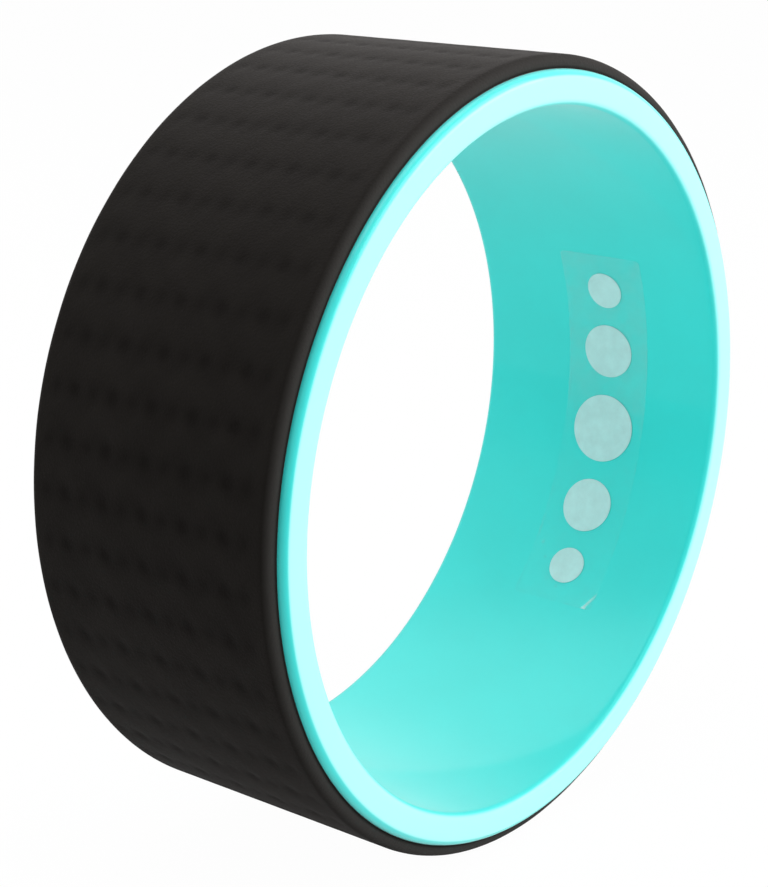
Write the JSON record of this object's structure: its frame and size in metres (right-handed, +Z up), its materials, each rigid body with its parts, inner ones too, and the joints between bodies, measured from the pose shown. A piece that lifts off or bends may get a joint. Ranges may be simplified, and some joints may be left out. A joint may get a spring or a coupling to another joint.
{
  "type": "yoga wheel",
  "caption": "Upright ring for stretching and back bends: a glossy moulded ring with rounded rims, a foam tread wrapped round it and a clear film label on the wall of its bore.",
  "frame": {"origin": "centre of the wheel, on its axle line and midway between its rims", "axes": "+Y along the axle line, away from the rim that faces the viewer; +Z up, with the wheel standing on its tread; +X to the right as seen from that rim"},
  "size_m": [0.33, 0.127, 0.33],
  "materials": {
    "ring_plastic": "glossy moulded turquoise plastic",
    "adhesive": "dried contact adhesive",
    "tread_foam": "matt black closed-cell foam with an embossed grip texture",
    "clear_film": "clear label film"
  },
  "bodies": {
    "root": {"core_ring": "ring_plastic", "adhesive_layer": "adhesive", "tread_pad": "tread_foam", "label_film": "clear_film"}
  },
  "joints": []
}
